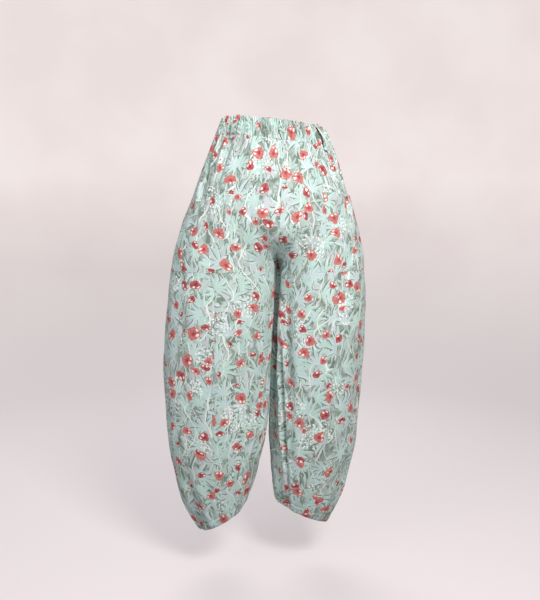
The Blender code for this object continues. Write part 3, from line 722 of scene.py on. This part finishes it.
SHELL = 0.0009            # the cloth with its seam allowances is thinner than its solid
SEAM_TUCK = 0.0020        # how far the cloth rolls in at a seam,
SEAM_ROLL = 0.0032        # and over what width,
WAIST_TUCK = 0.3          # with these shares of it at the waist seam and at the hem
HEM_TUCK = 0.6
PUCKER = 0.0006           # height of the small waves that the stitching leaves beside a seam
PUCKER_SPACING = 0.0085
PUCKER_REACH = 0.012
MEET_WIDTH = 0.010        # turns beside the inseams where the two legs press flat together,
MEET_START = 0.255        # between these drops, each a little fuller than its smooth form,
MEET_END = 0.70
MEET_FADE = 0.04
MEET_PRESS = 0.0012       # by this much, from a swell over this length
MEET_SWELL = 0.07
SEAM_SPACE = 0.00012      # half of the space left at a seam, in turns
GATHER_EASE = 0.30        # how much more cloth the gathers take up than they show
PANEL_ROWS = 236
EDGE_TURNS = (0.0015, 0.0035, 0.0065)   # more columns beside the seams
CROWD_TOP = 0.17          # rows stand closer together from this drop,
CROWD_LENGTH = 0.23       # over this length,
CROWD_SHIFT = 0.0096      # by being moved up to this far


def panel_drops():
    """Drops of a panel's rows, closer together where the seat turns under."""
    even = np.linspace(0.0, 1.0, PANEL_ROWS)
    top = WAIST_SEAM + 0.0001
    drops = top + (HEM_TOP - 0.0004 - top) * even
    share = np.clip((drops - CROWD_TOP) / CROWD_LENGTH, 0.0, 1.0)
    return np.sort(drops + CROWD_SHIFT * np.sin(2.0 * math.pi * share))


hem_prints = {}


def panel(part, side, first, last, columns, shift):
    """One long panel from the waist seam to the hem, between two turns."""
    turns = np.linspace(first + SEAM_SPACE, last - SEAM_SPACE, columns)
    edges = np.array(EDGE_TURNS)
    turns = np.sort(np.concatenate([turns, first + edges, last - edges]))
    turn, drop = np.meshgrid(turns, panel_drops())
    base = smooth_cloth(side, turn, drop)
    along = lengths(base, 1)
    down = lengths(base, 0)
    near = np.minimum(along, along[:, -1:] - along)
    top = WAIST_TUCK * np.exp(-((drop - drop[0, 0]) / SEAM_ROLL) ** 2)
    bottom = HEM_TUCK * np.exp(-((drop[-1, 0] - drop) / SEAM_ROLL) ** 2)
    tuck = SEAM_TUCK * (np.exp(-(near / SEAM_ROLL) ** 2) + top + bottom)
    ripple = np.sin(2.0 * math.pi * (down / PUCKER_SPACING + 0.4 * np.sin(23.0 * down)) + 1.7)
    pucker = PUCKER * ripple * np.exp(-(near / PUCKER_REACH) ** 2)
    depth = fold_depth(side, turn, drop) + tuck + pucker
    meet = np.exp(-(np.minimum(turn, 1.0 - turn) / MEET_WIDTH) ** 2)
    meet = meet * ease(drop, SEAT_TURN, MEET_START)
    meet = meet * (1.0 - ease(drop, MEET_END - MEET_FADE, MEET_END))
    press = LEG_GAP + MEET_PRESS * ease(drop, MEET_START, MEET_START + MEET_SWELL)
    depth = depth * (1.0 - meet) - press * meet
    outer = base - outwards(side, turn, drop) * depth[..., None]
    inner = outer - grid_normals(outer, SIDES[side]) * SHELL
    middle = along[:, columns // 2][:, None]
    gathered = 1.0 + GATHER_EASE * np.exp(-(drop / 0.07) ** 2) * (turn < ELASTIC_END)
    flat = np.stack([(along - middle) * gathered + shift[0], -down + shift[1]], axis=-1)
    hem_prints[part, side] = (turns, flat[-1])
    return cloth_shell(f"{part}_panel_{side}_cloth", outer, inner, flat, (PRINTED, REVERSE),
                       SIDES[side])


BACK_COLUMNS = 92
BACK_PRINT = {"left": (0.34, 2.27), "right": (0.92, 1.63)}    # where the print is cut
for side, shift in BACK_PRINT.items():
    piece = panel("back", side, 0.0, BACK_SEAM, BACK_COLUMNS, shift)
    place_piece(piece, f"back_panel_{side}")

# ================================================================ SIDE PANELS
# One long curved panel wraps the outside of each leg, with no seam at the outer side. Its two long
# curved seams, one behind and one in front, are what bows the leg out into a barrel.

SIDE_COLUMNS = 122
SIDE_PRINT = {"left": (1.62, 1.31), "right": (2.35, 1.02)}
for side, shift in SIDE_PRINT.items():
    piece = panel("side", side, BACK_SEAM, FRONT_SEAM, SIDE_COLUMNS, shift)
    place_piece(piece, f"side_panel_{side}")

# ================================================================ FRONT PANELS
# Two panels like those of the back, shallower at the crotch. They meet at the centre front seam
# and run down to the inseams, and are plain: no fly and no gathers.

FRONT_COLUMNS = 60
FRONT_PRINT = {"left": (3.05, 1.74), "right": (3.77, 1.22)}
for side, shift in FRONT_PRINT.items():
    piece = panel("front", side, FRONT_SEAM, 1.0, FRONT_COLUMNS, shift)
    place_piece(piece, f"front_panel_{side}")

# ================================================================ HEMS
# The bottom of each leg is turned up twice and stitched, which makes a firmer, slightly puckered
# edge. It is the panels' own cloth, so their print runs on into it.

HEM_EDGE = 0.898
HEM_WALL = 0.0022         # three layers of cloth
HEM_COLUMNS = 220
HEM_ROLL = 0.0011         # rounding of the folded edge
HEM_PUCKER = 0.0007       # small drag waves between the stitches and the edge
HEM_PUCKERS = 46          # round one leg
PANEL_ENDS = {"back": (0.0, BACK_SEAM), "side": (BACK_SEAM, FRONT_SEAM), "front": (FRONT_SEAM, 1.0)}

HEMMED = printed_cotton("printed cotton, turned and pressed", crumple=0.0010)


def hem_lift(turn, drop):
    """Waves of the stitched hem above its smooth form."""
    share = (drop - HEM_TOP) / (HEM_EDGE - HEM_TOP)
    slant = HEM_PUCKERS * turn + 0.35 * share + 0.3 * np.sin(31.0 * turn)
    return HEM_PUCKER * np.sin(2.0 * math.pi * slant) * np.sin(math.pi * np.clip(share, 0.0, 1.0))


def hem(side):
    """The turned hem as a short firm tube, rounded at its edge."""
    turns = [np.linspace(low + SEAM_SPACE, high - SEAM_SPACE, int(HEM_COLUMNS * (high - low)) + 1)
             for low, high in PANEL_ENDS.values()]
    turns = np.concatenate(turns)
    shares = np.array([0.0, 0.03, 0.10, 0.22, 0.36, 0.50, 0.64, 0.78, 0.90, 0.965, 1.0])
    turn, drop = np.meshgrid(turns, HEM_TOP + (HEM_EDGE - HEM_TOP) * shares)
    groove = 0.0007 * np.exp(-((drop - HEM_TOP) / 0.0012) ** 2)
    rounding = HEM_ROLL * ease(drop, HEM_EDGE - 0.0025, HEM_EDGE)
    depth = fold_depth(side, turn, drop) - hem_lift(turn, drop) + groove
    base = smooth_cloth(side, turn, drop) - outwards(side, turn, drop) * depth[..., None]
    normal = outwards(side, turn, drop)
    outer = base - normal * rounding[..., None]
    inner = base - normal * (HEM_WALL - rounding)[..., None]
    flat = np.zeros(turn.shape + (2,))
    for part, (low, high) in PANEL_ENDS.items():
        here = (turns >= low) & (turns <= high)
        panel_turns, panel_flat = hem_prints[part, side]
        for axis in (0, 1):
            flat[:, here, axis] = np.interp(turns[here], panel_turns, panel_flat[:, axis])
    flat[..., 1] -= drop - HEM_TOP
    piece = cloth_shell(f"hem_{side}_cloth", outer, inner, flat, (HEMMED, REVERSE), SIDES[side],
                        closed=True)
    return piece, outer, normal


THREAD_THICK = 0.00045    # two strands of sewing thread seen as one
STITCH = 0.0026
STITCH_STEP = 0.0036


def thread_material():
    """Spun polyester sewing thread: smooth, pale, with a slight gloss along each stitch."""
    material = bpy.data.materials.new("spun polyester sewing thread")
    material.use_nodes = True
    tree = material.node_tree
    place = add(tree, "TexCoord").outputs["Object"]
    noise = add(tree, "TexNoise", {"Vector": place, "Scale": 900.0, "Detail": 1.0})
    pale = add(tree, "MapRange", (noise, 0.35, 0.65))
    colour = add(tree, "Mix", {0: pale, 6: "#a9c2b6", 7: "#d3e2da"}, data_type="RGBA")
    rough = add(tree, "MapRange", (noise, 0.3, 0.7, 0.45, 0.60))
    twist = add(tree, "Bump", {"Height": noise, "Distance": 0.00005})
    feed(tree, tree.nodes["Principled BSDF"], {"Base Color": colour, "Roughness": rough,
                                               "Normal": twist})
    return material


THREAD_FINISH = thread_material()
STITCH_SIDES = 6
STITCH_RINGS = ((-0.50, 0.25), (-0.40, 0.85), (-0.15, 1.0), (0.15, 1.0), (0.40, 0.85), (0.50, 0.25))


def stitch_rows(name, rows):
    """Rows of lockstitches as one mesh. Each row is a line of points on the cloth with their
    normals, and its stitches lie half sunk, their ends dipping in."""
    points, faces = [], []
    for line, normals in rows:
        length = np.concatenate([[0.0], np.cumsum(np.linalg.norm(np.diff(line, axis=0), axis=1))])
        count = int(length[-1] // STITCH_STEP)
        for number in range(count):
            middle = (number + 0.5) * length[-1] / count
            ends = middle + np.array([-0.5, 0.0, 0.5]) * STITCH
            here = np.stack([np.interp(ends, length, line[:, axis]) for axis in range(3)], axis=1)
            up = np.array([np.interp(middle, length, normals[:, axis]) for axis in range(3)])
            along = here[2] - here[0]
            aside = np.cross(up, along)
            aside /= np.linalg.norm(aside)
            up = np.cross(along, aside)
            up /= np.linalg.norm(up)
            first = len(points)
            for share, thick in STITCH_RINGS:
                core = here[1] + along * share + up * THREAD_THICK * (0.35 - 1.6 * share * share)
                for corner in range(STITCH_SIDES):
                    angle = 2.0 * math.pi * corner / STITCH_SIDES
                    reach = 0.5 * THREAD_THICK * thick
                    points.append(core + aside * reach * math.cos(angle) + up * reach * math.sin(angle))
            for ring in range(len(STITCH_RINGS) - 1):
                for corner in range(STITCH_SIDES):
                    after = (corner + 1) % STITCH_SIDES
                    low = first + ring * STITCH_SIDES
                    high = low + STITCH_SIDES
                    faces.append((low + corner, low + after, high + after, high + corner))
            faces.append(tuple(first + corner for corner in reversed(range(STITCH_SIDES))))
            last = first + (len(STITCH_RINGS) - 1) * STITCH_SIDES
            faces.append(tuple(last + corner for corner in range(STITCH_SIDES)))
    mesh = bpy.data.meshes.new(name)
    mesh.from_pydata([tuple(point) for point in points], [], faces)
    mesh.materials.append(THREAD_FINISH)
    mesh.shade_smooth()
    piece = bpy.data.objects.new(name, mesh)
    bpy.context.collection.objects.link(piece)
    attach(piece, "root")
    return piece


HEM_STITCH_ROW = 2        # the row of the hem's grid that the stitches follow
for side in SIDES:
    piece, outer, normal = hem(side)
    place_piece(piece, f"hem_{side}")
    row = [np.concatenate([grid[HEM_STITCH_ROW], grid[HEM_STITCH_ROW, :1]])
           for grid in (outer, normal)]
    stitch_rows(f"hem_stitches_{side}", [row])

# ================================================================ HIP POCKETS
# A patch pocket lies on each hip, across the back seam of the side panel. It is one layer of the
# same cloth with a turned top, topstitched round its sides and bottom, and its mouth stands a
# little open.

POCKET_TOP = 0.112
POCKET_BOTTOM = 0.298
POCKET_INNER = 0.185      # turns of its upright edges
POCKET_OUTER = 0.47
POCKET_GAP = 0.0003
POCKET_CLOTH = 0.0014
POCKET_MOUTH = 0.0035     # how far the middle of the mouth stands off
POCKET_HEM = 0.020
POCKET_STITCH = 0.0030    # from the edges to the topstitching
POCKET_ROLL = 0.0009      # rounding of the edges
POCKET_SINK = 0.0004      # how far the stitches draw the cloth in
POCKET_COLUMNS = 64
POCKET_ROWS = 64


def pocket(side, shift):
    """The pocket's cloth, moved out from the panels under it, with rows of stitches on it."""
    turns = np.linspace(POCKET_INNER, POCKET_OUTER, POCKET_COLUMNS)
    turn, drop = np.meshgrid(turns, np.linspace(POCKET_TOP, POCKET_BOTTOM, POCKET_ROWS))
    base = cloth(side, turn, drop)
    normal = outwards(side, turn, drop)
    along = lengths(base, 1)
    down = lengths(base, 0)
    near = np.minimum(np.minimum(along, along[:, -1:] - along), down[-1:] - down)
    across = along / along[:, -1:]
    mouth = POCKET_MOUTH * np.sin(math.pi * across) ** 0.8 * np.exp(-(down / 0.035) ** 2)
    rolled = POCKET_ROLL * np.exp(-(near / POCKET_STITCH) ** 2)
    sewn = POCKET_SINK * np.exp(-((near - POCKET_STITCH) / 0.0012) ** 2)
    hemmed = POCKET_SINK * (np.exp(-((down - POCKET_HEM) / 0.0014) ** 2) - (down < POCKET_HEM))
    ripple = 0.0003 * np.sin(2.0 * math.pi * (down + along) / 0.009) * np.exp(-(near / 0.008) ** 2)
    lift = POCKET_GAP + POCKET_CLOTH + mouth - rolled - sewn - hemmed + ripple
    outer = base + normal * lift[..., None]
    inner = base + normal * (0.5 * POCKET_GAP + mouth)[..., None]
    flat = np.stack([along + shift[0], -down + shift[1]], axis=-1)
    piece = cloth_shell(f"hip_pocket_{side}_cloth", outer, inner, flat, (PRINTED, REVERSE),
                        SIDES[side])
    hem_row = int(np.argmin(np.abs(down[:, POCKET_COLUMNS // 2] - POCKET_HEM)))
    upright, level = slice(1, -2), slice(2, -3)
    lines = ((upright, 2), (upright, -3), (-2, level), (hem_row, level))
    stitch_rows(f"hip_pocket_stitches_{side}", [(outer[line], normal[line]) for line in lines])
    return piece


POCKET_PRINT = {"left": (4.55, 1.35), "right": (5.05, 1.86)}
for side, shift in POCKET_PRINT.items():
    place_piece(pocket(side, shift), f"hip_pocket_{side}")

# ================================================================ BACK WAISTBAND
# A strip of the same cotton folded over wide elastic, from one side round the back to the other.
# The elastic crushes it into small uneven upright pleats, and its top edge frills.

BAND_TOP = -0.040
BAND_WALL = 0.0024
BAND_COLUMNS = 620
BAND_ROWS = 22
BAND_PLEATS = 67          # more small pleats on each side of the centre back
BAND_PLEAT = 0.0013
BAND_FRILLS = 27          # waves of its top edge on each side
BAND_FRILL = 0.0013
BAND_ROUND = 0.0012

GATHERED = printed_cotton("printed cotton, gathered over elastic", crumple=0.0022)


def both_sides(surface, turn, drop):
    """A surface all round the waist: a turn below 0 is on the right."""
    left = surface("left", np.abs(turn), drop)
    right = surface("right", np.abs(turn), drop)
    return np.where((turn >= 0.0)[..., None], left, right)


def waistband(part, turns, crushed, flat_ease, shift, finish):
    """Half of the waistband. crushed is 1 over the elastic and 0 where the band is plain."""
    shares = 0.5 - 0.5 * np.cos(np.linspace(0.0, math.pi, BAND_ROWS))
    turn, drop = np.meshgrid(turns, BAND_TOP + (WAIST_SEAM - BAND_TOP) * shares)
    share = (drop - BAND_TOP) / (WAIST_SEAM - BAND_TOP)
    fade = crushed * (1.0 - ease(np.abs(turn), ELASTIC_END - ELASTIC_FADE, ELASTIC_END))
    lean = 0.5 * np.sin(13.0 * turn) + 0.25 * np.sin(4.0 * share + 50.0 * turn)
    small = np.sin(2.0 * math.pi * (BAND_PLEATS / ELASTIC_END * turn + lean))
    strength = 0.45 + 0.55 * np.sin(67.0 * turn + 2.0 * share) ** 2
    seam = 1.0 - 0.7 * np.exp(-((WAIST_SEAM - drop) / 0.006) ** 2)
    lift = fade * seam * BAND_PLEAT * small * strength
    uneven = 1.0 + 1.7 * np.sin(17.0 * turn)
    frill = np.sin(2.0 * math.pi * BAND_FRILLS / ELASTIC_END * turn + uneven)
    frill = fade * BAND_FRILL * frill * (0.35 + 0.65 * np.sin(37.0 * turn) ** 2)
    level = drop - frill * (1.0 - share) ** 3
    base = both_sides(cloth, turn, level)
    normal = both_sides(outwards, turn, level)
    edge = np.minimum(drop - BAND_TOP, WAIST_SEAM - drop)
    rounding = BAND_ROUND * np.exp(-(edge / 0.0012) ** 2) * (1.0 - 0.6 * share)
    outer = base + normal * (lift - rounding)[..., None]
    inner = base + normal * (0.6 * lift - BAND_WALL + rounding)[..., None]
    along = lengths(both_sides(smooth_cloth, turn, drop), 1)
    along = along - along[:, len(turns) // 2][:, None]
    flat = np.stack([along * flat_ease + shift[0], -drop + shift[1]], axis=-1)
    piece = cloth_shell(f"waistband_{part}_cloth", outer, inner, flat, (finish, finish), 1.0)
    stitch_rows(f"waistband_stitches_{part}", [(outer[-4], normal[-4])])
    return piece


BACK_BAND_PRINT = (6.2, 1.4)
BACK_BAND_EASE = 1.45     # how much more cloth the crushed pleats take up than they show
back_turns = np.linspace(-ELASTIC_END + SEAM_SPACE, ELASTIC_END - SEAM_SPACE, BAND_COLUMNS)
piece = waistband("back", back_turns, 1.0, BACK_BAND_EASE, BACK_BAND_PRINT, GATHERED)
place_piece(piece, "waistband_back")

# ================================================================ FRONT WAISTBAND
# A plain folded strip of the same height, from side to side round the front, without elastic.
# Its ends are sewn into the ends of the back band.

FRONT_BAND_PRINT = (7.4, 1.9)
FRONT_BAND_COLUMNS = 90   # on each side
front_turns = np.linspace(ELASTIC_END + SEAM_SPACE, 1.0, FRONT_BAND_COLUMNS)
front_turns = np.concatenate([front_turns[:-1], -front_turns[::-1]])
piece = waistband("front", front_turns, 0.0, 1.0, FRONT_BAND_PRINT, PRINTED)
place_piece(piece, "waistband_front")

# ================================================================ BELT LOOPS
# Four narrow strips of the same cotton, folded and edge-stitched. Each is tacked down at both
# ends, and its middle stands off the waistband.

LOOP_TURNS = {"back": 0.262, "front": 0.790}
LOOP_WIDTH = 0.013
LOOP_TOP = -0.0415
LOOP_BOTTOM = 0.0150
LOOP_GAP = 0.0003
LOOP_CLOTH = 0.0016
LOOP_BOW = 0.0055
LOOP_TACK = 0.14          # share of its length sewn down at each end
LOOP_ROWS = 40
LOOP_COLUMNS = 15
LOOP_LIFT = 0.0012        # clears the crushed pleats under its tacked ends

TRIM = printed_cotton("printed cotton, folded and topstitched", crumple=0.0008)


def belt_loop(part, side, shift):
    """A belt loop, with its edges rounded and two rows of edge stitches."""
    middle = LOOP_TURNS[part]
    probe = 0.01
    ends = smooth_cloth(side, np.array([middle - probe, middle + probe]), np.full(2, WAIST_SEAM))
    half_turn = LOOP_WIDTH * probe / float(np.linalg.norm(ends[1] - ends[0]))
    shares = 0.5 - 0.5 * np.cos(np.linspace(0.0, math.pi, LOOP_COLUMNS))
    turn, drop = np.meshgrid(middle + half_turn * (2.0 * shares - 1.0),
                             np.linspace(LOOP_TOP, LOOP_BOTTOM, LOOP_ROWS))
    length_share = (drop - LOOP_TOP) / (LOOP_BOTTOM - LOOP_TOP)
    free = np.clip((length_share - LOOP_TACK) / (1.0 - 2.0 * LOOP_TACK), 0.0, 1.0)
    under = LOOP_GAP + LOOP_LIFT + LOOP_BOW * np.sin(math.pi * free)
    across = np.abs(2.0 * (turn - middle + half_turn) / (2.0 * half_turn) - 1.0)
    edge = 0.5 * LOOP_CLOTH * ease(across, 0.80, 1.0)
    groove = 0.0003 * np.exp(-((across - 0.62) / 0.10) ** 2)
    base = smooth_cloth(side, turn, drop)
    normal = outwards(side, turn, drop)
    outer = base + normal * (under + LOOP_CLOTH - edge - groove)[..., None]
    inner = base + normal * (under + edge * 0.5)[..., None]
    flat = np.stack([lengths(base, 1) + shift[0], -lengths(base, 0) + shift[1]], axis=-1)
    piece = cloth_shell(f"belt_loop_{part}_{side}_cloth", outer, inner, flat, (TRIM, TRIM),
                        SIDES[side])
    upright, level = slice(1, -1), slice(2, -2)
    lines = ((upright, 3), (upright, -4), (2, level), (-3, level))
    stitch_rows(f"belt_loop_stitches_{part}_{side}", [(outer[line], normal[line]) for line in lines])
    return piece


LOOP_PRINT = {("back", "left"): (8.36, 1.0), ("back", "right"): (8.71, 1.3),
              ("front", "left"): (9.02, 1.1), ("front", "right"): (9.44, 1.7)}
for (part, side), shift in LOOP_PRINT.items():
    piece = belt_loop(part, side, shift)
    place_piece(piece, f"belt_loop_{part}_{side}")

# ================================================================ FLOOR AND LIGHT
# The garment hangs at the height where it is worn, over a plain pale studio floor that curves up
# into the walls all round. A soft light stands above the camera on its right, a weaker one on its
# left, and a third one lights the far side.

FLOOR_DROP = 1.035
FLOOR_RADIUS = 3.4
WALL_CURVE = 1.6
WALL_HEIGHT = 3.2
CURVE_STEPS = 16
PAINTED_SHADE_HEIGHT = 1.1           # painted shade: below this height above the floor the paint is darkened


def studio_paint():
    """Matt pale emulsion paint with a slight roller mottle and a painted shade that darkens it towards
    the floor. It also glows faintly, and the glow carries the painted shade too.
    """
    material = bpy.data.materials.new("matt emulsion paint")
    material.use_nodes = True
    tree = material.node_tree
    place = add(tree, "TexCoord").outputs["Object"]
    noise = add(tree, "TexNoise", {"Vector": place, "Scale": 2.0, "Detail": 3.0})
    mottle = add(tree, "MapRange", (noise, 0.35, 0.65))
    colour = add(tree, "Mix", {0: mottle, 6: "#eadfde", 7: "#efe6e4"}, data_type="RGBA")
    # painted shade: the paint is darkened towards the floor, and its glow with it
    height = add(tree, "SeparateXYZ", (place,)).outputs[2]
    low = add(tree, "MapRange", (height, PAINTED_SHADE_HEIGHT - FLOOR_DROP, -FLOOR_DROP))
    colour = add(tree, "Mix", {0: low, 6: colour, 7: "#bfb8ba"}, data_type="RGBA")
    feed(tree, tree.nodes["Principled BSDF"], {
        "Base Color": colour, "Roughness": 0.9, "Specular IOR Level": 0.2,
        "Emission Color": colour, "Emission Strength": 0.52})
    return material


def studio_floor():
    """A round floor that curves up into a wall."""
    profile = [(0.001, 0.0), (FLOOR_RADIUS - WALL_CURVE, 0.0)]
    for step in range(1, CURVE_STEPS + 1):
        angle = 0.5 * math.pi * step / CURVE_STEPS
        profile.append((FLOOR_RADIUS - WALL_CURVE + WALL_CURVE * math.sin(angle),
                        WALL_CURVE * (1.0 - math.cos(angle))))
    profile.append((FLOOR_RADIUS, WALL_HEIGHT))
    body = bmesh.new()
    line = [body.verts.new((radius, 0.0, height - FLOOR_DROP)) for radius, height in profile]
    edges = [body.edges.new(pair) for pair in zip(line, line[1:])]
    bmesh.ops.spin(body, geom=line + edges, cent=(0, 0, 0), axis=(0, 0, 1), dvec=(0, 0, 0),
                   angle=2.0 * math.pi, steps=96)
    bmesh.ops.remove_doubles(body, verts=body.verts[:], dist=0.0005)
    bmesh.ops.recalc_face_normals(body, faces=body.faces[:])
    mesh = bpy.data.meshes.new("studio_floor")
    body.to_mesh(mesh)
    body.free()
    mesh.materials.append(studio_paint())
    mesh.shade_smooth()
    floor = bpy.data.objects.new("studio_floor", mesh)
    bpy.context.collection.objects.link(floor)
    floor.visible_shadow = False
    floor.visible_diffuse = False
    floor.visible_glossy = False
    return floor


studio_floor()


def soft_light(name, place, aim, size, power, code):
    """A large square softbox that faces a point."""
    light = bpy.data.lights.new(name, "AREA")
    light.shape = "SQUARE"
    light.size = size
    light.energy = power
    light.color = linear(code)[:3]
    lamp = bpy.data.objects.new(name, light)
    bpy.context.collection.objects.link(lamp)
    lamp.location = place
    direction = np.array(aim) - np.array(place)
    flat_length = math.hypot(direction[0], direction[1])
    lamp.rotation_euler = (math.atan2(flat_length, -direction[2]), 0.0,
                           math.atan2(direction[1], direction[0]) - 0.5 * math.pi)
    return lamp


soft_light("key_softbox", (-0.40, 1.50, 0.75), (0.0, 0.0, -0.25), 0.6, 35.0, "#fffaf7")
soft_light("fill_softbox", (1.5, 1.2, 0.3), (0.0, 0.0, -0.35), 1.2, 9.0, "#f8f8ff")
soft_light("far_softbox", (0.2, -1.6, 1.0), (0.0, 0.0, -0.40), 1.4, 26.0, "#ffffff")

world = bpy.data.worlds.new("studio_air")
world.use_nodes = True
world.node_tree.nodes["Background"].inputs["Color"].default_value = linear("#fbf8f6")
world.node_tree.nodes["Background"].inputs["Strength"].default_value = 0.36
bpy.context.scene.world = world
bpy.context.scene.view_settings.view_transform = "Standard"

# ================================================================ CAMERA
# 1.6 m behind the garment and a little above it, turned 8 degrees towards its left leg and tipped
# 7 degrees down, with a lens of 47 mm.

IMAGE_WIDTH = 540
IMAGE_HEIGHT = 600
FOCAL_PIXELS = 700.0      # focal length over the width of a pixel
SENSOR = 36.0
VIEW_TURN = math.radians(8.0)
VIEW_TIP = math.radians(7.0)
VIEW_DISTANCE = 1.63
WAIST_PIXEL = (276.5, 141.0)  # where the origin shows in the image

camera_data = bpy.data.cameras.new("camera")
camera_data.sensor_fit = "HORIZONTAL"
camera_data.sensor_width = SENSOR
camera_data.lens = FOCAL_PIXELS / IMAGE_WIDTH * SENSOR
camera = bpy.data.objects.new("camera", camera_data)
bpy.context.collection.objects.link(camera)

aside = np.array([-math.cos(VIEW_TURN), math.sin(VIEW_TURN), 0.0])
behind = np.array([math.sin(VIEW_TURN) * math.cos(VIEW_TIP),
                   math.cos(VIEW_TURN) * math.cos(VIEW_TIP), math.sin(VIEW_TIP)])
above = np.cross(behind, aside)
side_shift = (WAIST_PIXEL[0] - 0.5 * IMAGE_WIDTH) / FOCAL_PIXELS * VIEW_DISTANCE
up_shift = (0.5 * IMAGE_HEIGHT - WAIST_PIXEL[1]) / FOCAL_PIXELS * VIEW_DISTANCE
camera.location = behind * VIEW_DISTANCE - aside * side_shift - above * up_shift
camera.rotation_euler = (0.5 * math.pi - VIEW_TIP, 0.0, math.pi - VIEW_TURN)
bpy.context.scene.camera = camera
